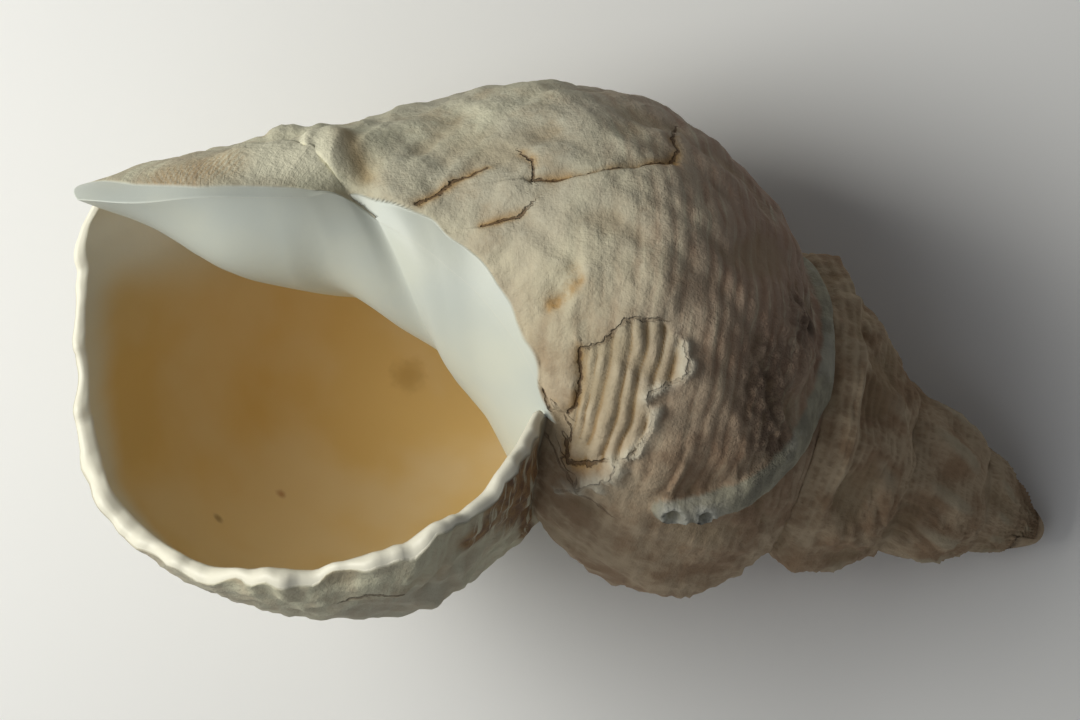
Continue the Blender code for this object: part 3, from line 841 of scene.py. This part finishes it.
def build_shell():
    """Vertices, faces and masks of the whole shell, in the upright frame and millimetres."""
    edge = inner_lip(SHARES)
    grids = [spire_rows(block) for block in range(WHORLS - 1)] + [body_rows(edge)]
    numbers, fresh, count = number_rows()
    points = []
    names = MARKS + ("turn", "place")
    masks = {name: [] for name in names}
    scar = []
    for (grid, mark), (rows, first) in zip(grids, fresh):
        points.append(grid[:rows, first:].reshape(-1, 3))
        for name in names:
            masks[name].append(np.asarray(mark[name], float)[:rows, first:].ravel())
        line = sum(np.where(mark["front"], np.exp(-(gap / SCAR_HALF) ** 2), 0.0) * (row[2] > 0)
                   for (gap, _, _), row in zip(mark["breaks"], BREAKS))
        scar.append(np.clip(line, 0, 1)[:rows, first:].ravel())
    faces = []
    for block, grid in enumerate(numbers):
        last_row = ROUND if block == len(numbers) - 1 else ROUND - 1
        upper = grid[:last_row]
        lower = grid[1:last_row + 1]
        quads = np.stack([upper[:, :-1], lower[:, :-1], lower[:, 1:], upper[:, 1:]], -1)
        faces += quads.reshape(-1, 4).tolist()
        if block < len(numbers) - 1:
            step = ACROSS[block + 1] // ACROSS[block]
            fine = numbers[block + 1][0]
            below = np.stack([fine[k:len(fine) - step + k:step] for k in range(step + 1)], -1)
            row = grid[ROUND - 1]
            faces += np.concatenate([row[:-1, None], below, row[1:, None]], 1).tolist()

    body = numbers[-1]
    body_points = grids[-1][0]
    loop = np.concatenate([body[ROUND], body[ROUND - 1:0:-1, -1]])
    outer = np.concatenate([body_points[ROUND], body_points[ROUND - 1:0:-1, -1]])
    back = np.concatenate([body_points[ROUND - 1], body_points[ROUND - 1:0:-1, -2]])
    rings, depth, pillar = cavity(edge)
    rim = rim_rings(outer, rings[0], back, pillar[0])
    count = stitched(loop, rim + rings, rings[-1].mean(axis=0), count, points, faces)

    first = numbers[0]
    tip_loop = np.concatenate([first[0], first[ROUND - 1:0:-1, 0]])
    spire = grids[0][0]
    tip_points = np.concatenate([spire[0], spire[ROUND - 1:0:-1, 0]])
    tip = np.array([-ASIDE, 0.0, 0.0])
    tip_rings = [tip_points + (tip - tip_points) * step for step in APEX_STEPS]
    stitched(tip_loop, tip_rings, tip, count, points, faces)

    points = np.concatenate(points)
    points[:, 2] = settled(points[:, 2])
    near_tip = np.linalg.norm(points - np.array(TIP_CENTRE), axis=1)
    points[:, 2] -= TIP_OUT * np.exp(-(near_tip / TIP_REACH) ** 2)
    total = len(points)
    skin = {name: np.zeros(total) for name in names + INNER_MARKS}
    for name in names:
        values = np.concatenate(masks[name])
        skin[name][:len(values)] = values
    outside_count = len(values)
    skin["scar"][:outside_count] = np.concatenate(scar)
    rim_count = len(rim) * len(loop)
    cavity_count = depth.size
    start = outside_count + rim_count
    skin["inner"][outside_count:start + cavity_count + 1] = 1.0
    skin["depth"][start:start + cavity_count] = depth.ravel()
    skin["depth"][start + cavity_count] = depth.max()
    skin["pillar"][start:start + cavity_count] = pillar.ravel()
    skin["pillar"][outside_count:start] = np.tile(pillar[0], len(rim))
    skin["glaze"][outside_count:] = skin["pillar"][outside_count:]
    skin["turn"][start + cavity_count + 1:] = LIP_TURN - WHORLS
    return points, faces, skin


# The shell lies on its back with the mouth up. The turn and the shift are those of the solid.
LYING = (-114.5, -1.9, -89.1)
SHIFT = (-44.25316, -4.17873, -0.81457)
lying = np.array(Euler([math.radians(angle) for angle in LYING], "XYZ").to_matrix())


def laid(points):
    """Upright millimetres turned on to the shell's back, in metres from the ground's centre."""
    return (points @ lying.T - np.array(SHIFT)) * MM


def worn_flat(points):
    """The back is worn flat where the shell lies on it."""
    points[:, 2] = np.maximum(points[:, 2], 0.0)
    return points


upright, faces, skin = build_shell()
mesh = bpy.data.meshes.new("whelk_shell")
mesh.from_pydata(worn_flat(laid(upright)).tolist(), [], faces)
mesh.update()
mesh.shade_smooth()


def store(name, values):
    """One number for each vertex, for the material to read."""
    layer = mesh.attributes.new(name, "FLOAT", "POINT")
    layer.data.foreach_set("value", np.ascontiguousarray(values, dtype=np.float32))


for name in MARKS + INNER_MARKS:
    store(name, skin[name])
store("spire", smooth_step((-0.25 - skin["turn"]) / 0.9) * (1 - skin["inner"]))


def store_vector(name, along, across):
    """Two numbers for each vertex, as a vector."""
    layer = mesh.attributes.new(name, "FLOAT_VECTOR", "POINT")
    flat = np.stack([along, across, np.zeros(len(along))], -1)
    layer.data.foreach_set("vector", np.ascontiguousarray(flat, dtype=np.float32).ravel())


store_vector("grain", skin["turn"] * 40.0, skin["place"] * 30.0)

shell = bpy.data.objects.new("whelk_shell", mesh)
bpy.context.scene.collection.objects.link(shell)


# Finish: chalky worn lime outside, cream to grey-beige, pinker and browner towards the spire and in
# the grooves, with painted shade in the pink-brown of the last whorl's upper side; a smooth white glaze
# round the inner lip; a thin tan layer with soft blotches inside, its cream parts lightened by painted
# light.
material = bpy.data.materials.new("weathered_whelk")
material.use_nodes = True
tree = material.node_tree
shader = tree.nodes["Principled BSDF"]


def plug(socket, value):
    """Joins a socket to another one, or sets it to a number or a colour."""
    if isinstance(value, bpy.types.NodeSocket):
        tree.links.new(value, socket)
    else:
        socket.default_value = value


def add(kind, **inputs):
    """A node of a kind, with its sockets set by name from a number, a colour or another socket."""
    node = tree.nodes.new(kind)
    for name, value in inputs.items():
        plug(node.inputs[name.replace("_", " ")], value)
    return node


def maths(operation, a, b=0.0, clamp=False):
    """One sum of two numbers or sockets, kept from 0 to 1 if clamped."""
    node = tree.nodes.new("ShaderNodeMath")
    node.operation = operation
    node.use_clamp = clamp
    for socket, value in zip(node.inputs, (a, b)):
        plug(socket, value)
    return node.outputs[0]


def mixed(factor, a, b):
    """Colour a changed to colour b by a factor."""
    node = tree.nodes.new("ShaderNodeMix")
    node.data_type = "RGBA"
    for socket, value in (("Factor", factor), (6, a), (7, b)):
        plug(node.inputs[socket], value)
    return node.outputs[2]


def ranged(value, low, high):
    """A value brought to 0 at low and 1 at high."""
    node = tree.nodes.new("ShaderNodeMapRange")
    node.interpolation_type = "SMOOTHSTEP"
    tree.links.new(value, node.inputs["Value"])
    node.inputs["From Min"].default_value = low
    node.inputs["From Max"].default_value = high
    return node.outputs["Result"]


def attribute(name, output="Fac"):
    """A mask stored on the mesh."""
    node = tree.nodes.new("ShaderNodeAttribute")
    node.attribute_name = name
    return node.outputs[output]


def noise(vector, scale, detail=4.0, roughness=0.55):
    """Cloudy noise from 0 to 1, about one half."""
    node = add("ShaderNodeTexNoise", Vector=vector, Scale=scale, Detail=detail, Roughness=roughness)
    return node.outputs["Fac"]


def vectors(operation, a, b, output="Vector"):
    """One operation on two vectors."""
    node = tree.nodes.new("ShaderNodeVectorMath")
    node.operation = operation
    for socket, value in zip(node.inputs, (a, b)):
        plug(socket, value)
    return node.outputs[output]


def over(colour, factor, strength, top):
    """A colour laid over another where the factor is high."""
    return mixed(maths("MULTIPLY", factor, strength, True), colour, top)


def less(value):
    """One less the value."""
    return maths("SUBTRACT", 1.0, value)


def times(a, b):
    """Two masks or numbers multiplied."""
    return maths("MULTIPLY", a, b)


def stretched(vector, scale):
    """Coordinates closed up or drawn out along each way."""
    return add("ShaderNodeMapping", Vector=vector, Scale=scale).outputs[0]


# The picture's up and left, along the shell's own axes: they find the canal's end of the lining
TOWARDS_TOP = (-0.389, 0.921, 0.032)
TOWARDS_CANAL = (-0.907, -0.388, 0.165)
# Small dark spots on the inner layer: place in metres, radius in metres, colour
SPOTS = [((-0.0210, -0.0186, 0.0140), 0.0007, (0.35, 0.12, 0.05, 1)),
         ((-0.0236, -0.0220, 0.0222), 0.0007, (0.20, 0.12, 0.06, 1)),
         ((-0.0167, -0.0049, 0.0028), 0.0021, (0.46, 0.29, 0.09, 1))]

# Layers of colour from the chalk up: blotches, grooves, stains, tube, glaze and inner layer
place = add("ShaderNodeTexCoord").outputs["Object"]
grain = attribute("grain", "Vector")
spire, shoulder, dent, glaze, inner, depth, pillar, tube, rough, flake, height = (
    attribute(name) for name in ("spire", "shoulder", "dent", "glaze", "inner", "depth", "pillar",
                                 "tube", "rough", "flake", "height"))

broad = noise(place, 60.0, 3.0)
middle = noise(place, 210.0, 5.0, 0.62)
fine = noise(place, 900.0, 4.0, 0.6)
streak = noise(grain, 1.0, 5.0, 0.6)
along = noise(stretched(grain, (0.5, 3.0, 1.0)), 1.0, 5.0, 0.6)
across = noise(stretched(grain, (4.0, 0.4, 1.0)), 1.0, 4.0, 0.6)

chalk = mixed(ranged(broad, 0.38, 0.62), (0.62, 0.60, 0.44, 1), (0.50, 0.47, 0.36, 1))
chalk = over(chalk, ranged(middle, 0.50, 0.72), 0.5, (0.42, 0.33, 0.21, 1))
chalk = over(chalk, ranged(fine, 0.52, 0.70), 0.25, (0.66, 0.65, 0.52, 1))
grooves = times(dent, ranged(streak, 0.36, 0.60))
chalk = over(chalk, grooves, 0.45, (0.43, 0.30, 0.19, 1))
# Pink-brown on the upper side of the last whorl: partly its own pinkish tint, partly painted shade. It is
# much darker than the chalk on the side turned away from the lamp, and darker still in the grooves there.
pink_and_shade = times(shoulder, ranged(along, 0.20, 0.52))
chalk = over(chalk, pink_and_shade, 0.95, (0.36, 0.25, 0.19, 1))
chalk = over(chalk, times(shoulder, grooves), 0.85, (0.30, 0.18, 0.12, 1))
brown = mixed(ranged(middle, 0.40, 0.62), (0.50, 0.39, 0.26, 1), (0.33, 0.22, 0.13, 1))
brown = over(brown, times(dent, ranged(across, 0.40, 0.60)), 0.42, (0.15, 0.085, 0.04, 1))
crest = ranged(attribute("fold"), 0.2, 0.9)
brown = over(brown, times(crest, ranged(broad, 0.40, 0.55)), 0.6, (0.47, 0.42, 0.30, 1))
chalk = over(chalk, ranged(spire, 0.25, 0.85), 0.92, brown)
hollow = ranged(times(height, -1.0), 0.05, 0.55)
chalk = over(chalk, hollow, 0.45, (0.32, 0.24, 0.14, 1))
worn_layer = times(flake, ranged(middle, 0.30, 0.65))
chalk = over(chalk, worn_layer, 0.3, (0.52, 0.46, 0.30, 1))
chalk = over(chalk, times(flake, ranged(dent, 0.45, 0.95)), 0.9, (0.34, 0.21, 0.08, 1))
chalk = over(chalk, attribute("step"), 0.6, (0.66, 0.64, 0.52, 1))
ochre = times(attribute("scar"), ranged(middle, 0.38, 0.58))
chalk = over(chalk, ochre, 0.85, (0.40, 0.23, 0.07, 1))
pitted = times(rough, ranged(fine, 0.38, 0.56))
chalk = over(chalk, pitted, 0.7, (0.17, 0.115, 0.08, 1))
chalk = over(chalk, attribute("swelling"), 0.85, (0.70, 0.67, 0.51, 1))
chalk = over(chalk, attribute("striped"), 0.75, (0.42, 0.27, 0.12, 1))
chalk = over(chalk, attribute("groove"), 0.8, (0.36, 0.26, 0.13, 1))
rust = times(attribute("rust"), ranged(along, 0.34, 0.52))
rusty = mixed(ranged(fine, 0.35, 0.65), (0.13, 0.045, 0.012, 1), (0.30, 0.15, 0.04, 1))
chalk = over(chalk, ranged(rust, 0.12, 0.75), 0.85, rusty)
chalk = over(chalk, attribute("stain"), 0.9, (0.055, 0.035, 0.022, 1))
band = mixed(ranged(streak, 0.35, 0.65), (0.41, 0.385, 0.285, 1), (0.25, 0.235, 0.18, 1))
band = over(band, ranged(middle, 0.48, 0.62), 0.5, (0.52, 0.50, 0.42, 1))
chalk = mixed(ranged(tube, 0.05, 0.5), chalk, band)
chalk = over(chalk, attribute("ring"), 0.9, (0.60, 0.60, 0.53, 1))

jagged = times(maths("SUBTRACT", noise(place, 1300.0, 3.0), 0.5), 0.8)
off = maths("ABSOLUTE", maths("ADD", attribute("crack"), jagged), 0.0)
cracks = times(less(ranged(off, 0.05, 0.18)), attribute("crack_near"))
cracks = times(cracks, ranged(middle, 0.30, 0.44))
chalk = over(chalk, cracks, 0.8, (0.12, 0.07, 0.035, 1))

white = mixed(ranged(broad, 0.4, 0.62), (0.63, 0.655, 0.57, 1), (0.57, 0.61, 0.56, 1))
outer = mixed(ranged(glaze, 0.2, 0.8), chalk, white)

blotch = noise(place, 70.0, 3.0, 0.5)
tan = mixed(ranged(blotch, 0.38, 0.66), (0.76, 0.545, 0.22, 1), (0.80, 0.635, 0.36, 1))
tan_in = ranged(depth, 0.2, 5.5)
pillar_in = ranged(depth, 36.0, 75.0)
deep = times(less(pillar), tan_in)
deep = maths("ADD", deep, times(pillar, pillar_in), clamp=True)
towards_top = vectors("DOT_PRODUCT", place, TOWARDS_TOP, "Value")
towards_canal = vectors("DOT_PRODUCT", place, TOWARDS_CANAL, "Value")
canal = times(ranged(towards_top, 0.0085, 0.0135), ranged(towards_canal, 0.029, 0.037))
deep = times(deep, less(canal))
# The cream of the lining at the lip and at the canal's end is a real pale zone, made brighter than its own
# colour as painted light against the shade of the canal's wall.
lining = mixed(deep, (0.80, 0.77, 0.64, 1), tan)
lining = mixed(times(pillar, less(pillar_in)), lining, white)
ragged = noise(place, 1100.0, 2.0)
for centre, radius, shade in SPOTS:
    gap = vectors("DISTANCE", place, centre, "Value")
    gap = times(gap, maths("ADD", ragged, 0.5))
    lining = over(lining, less(ranged(gap, radius * 0.1, radius)), 0.6, shade)
colour = mixed(inner, outer, lining)
tree.links.new(colour, shader.inputs["Base Color"])

smooth = maths("MAXIMUM", ranged(glaze, 0.2, 0.8), inner)
gloss = tree.nodes.new("ShaderNodeMapRange")
tree.links.new(smooth, gloss.inputs["Value"])
gloss.inputs["To Min"].default_value = 0.85
gloss.inputs["To Max"].default_value = 0.40
tree.links.new(gloss.outputs["Result"], shader.inputs["Roughness"])
shader.inputs["Specular IOR Level"].default_value = 0.35

threads = noise(stretched(grain, (1.0, 9.0, 1.0)), 1.3, 3.0)
lines = noise(stretched(grain, (7.0, 0.7, 1.0)), 1.5, 4.0)
pores = noise(place, 2600.0, 3.0, 0.7)
rise = maths("ADD", times(threads, 0.10), times(lines, 0.20))
rise = maths("ADD", rise, times(fine, 0.9))
rise = maths("ADD", rise, times(pores, 0.25))
rise = maths("ADD", rise, times(times(rough, pores), 2.2))
rise = maths("SUBTRACT", rise, times(cracks, 1.5))
rise = times(rise, less(times(smooth, 0.95)))
bump = tree.nodes.new("ShaderNodeBump")
bump.inputs["Strength"].default_value = 0.8
bump.inputs["Distance"].default_value = 0.00035
tree.links.new(rise, bump.inputs["Height"])
tree.links.new(bump.outputs["Normal"], shader.inputs["Normal"])
mesh.materials.append(material)
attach(shell, "root")
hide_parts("shell")


# A plain pale floor under the shell.
FLOOR_SIDE = 4.0
floor_sides = [(-1, -1), (1, -1), (1, 1), (-1, 1)]
floor_corners = [(x * FLOOR_SIDE / 2, y * FLOOR_SIDE / 2, 0.0) for x, y in floor_sides]
floor_mesh = bpy.data.meshes.new("floor")
floor_mesh.from_pydata(floor_corners, [], [(0, 1, 2, 3)])
floor = bpy.data.objects.new("floor", floor_mesh)
bpy.context.scene.collection.objects.link(floor)
floor_material = bpy.data.materials.new("pale_floor")
floor_material.use_nodes = True
floor_shader = floor_material.node_tree.nodes["Principled BSDF"]
floor_shader.inputs["Base Color"].default_value = (0.86, 0.86, 0.85, 1)
floor_shader.inputs["Roughness"].default_value = 0.9
floor_mesh.materials.append(floor_material)

# Soft studio light: a large lamp up on the left, as in the photograph, and pale light from all round.
LAMPS = [("key", (-0.162, -0.036, 0.172), 0.14, 0.45, (1.0, 0.99, 0.93)),
         ("fill", (-0.10, -0.30, 0.60), 0.50, 0.5, (0.97, 0.98, 1.0))]
for name, spot_at, side, power, tint in LAMPS:
    lamp = bpy.data.lights.new(name, "AREA")
    lamp.size = side
    lamp.energy = power
    lamp.color = tint
    lamp_object = bpy.data.objects.new(name, lamp)
    lamp_object.location = spot_at
    lamp_object.rotation_euler = (-Vector(spot_at)).to_track_quat("-Z", "Y").to_euler()
    bpy.context.scene.collection.objects.link(lamp_object)
world = bpy.data.worlds.new("studio")
world.use_nodes = True
world.node_tree.nodes["Background"].inputs["Color"].default_value = (0.95, 0.97, 1.0, 1)
world.node_tree.nodes["Background"].inputs["Strength"].default_value = 0.12
bpy.context.scene.world = world
bpy.context.scene.view_settings.view_transform = "Standard"

# The camera looks down on the mouth. Its direction is given in the upright shell's frame: it looks
# towards +Y and up by its tilt, and the image's right-hand side is turned towards the spire.
IMAGE_WIDTH = 1080
IMAGE_HEIGHT = 720
CAMERA_TILT = 15.0
IMAGE_TURN = 90.0 + 22.3
CAMERA_DISTANCE = 344.24
FOCAL_PIXELS = 3815.0
APEX_PIXEL = (1060.0, 547.0)
SENSOR = 36.0
tilt = math.radians(CAMERA_TILT)
turned = math.radians(IMAGE_TURN)
forward = np.array([0.0, math.cos(tilt), math.sin(tilt)])
up = np.array([0.0, -math.sin(tilt), math.cos(tilt)])
right = np.array([1.0, 0.0, 0.0])
image_right = math.cos(turned) * right + math.sin(turned) * up
image_down = math.sin(turned) * right - math.cos(turned) * up
aside = (APEX_PIXEL[0] - IMAGE_WIDTH / 2) * CAMERA_DISTANCE / FOCAL_PIXELS
below = (APEX_PIXEL[1] - IMAGE_HEIGHT / 2) * CAMERA_DISTANCE / FOCAL_PIXELS
eye = -aside * image_right - below * image_down - CAMERA_DISTANCE * forward
axes = np.stack([image_right, -image_down, -forward], -1)
camera_data = bpy.data.cameras.new("camera")
camera_data.sensor_width = SENSOR
camera_data.lens = FOCAL_PIXELS / IMAGE_WIDTH * SENSOR
camera_data.clip_start = 0.01
camera = bpy.data.objects.new("camera", camera_data)
camera.matrix_world = Matrix.Translation(Vector(laid(eye))) @ Matrix((lying @ axes).tolist()).to_4x4()
bpy.context.scene.collection.objects.link(camera)
bpy.context.scene.camera = camera
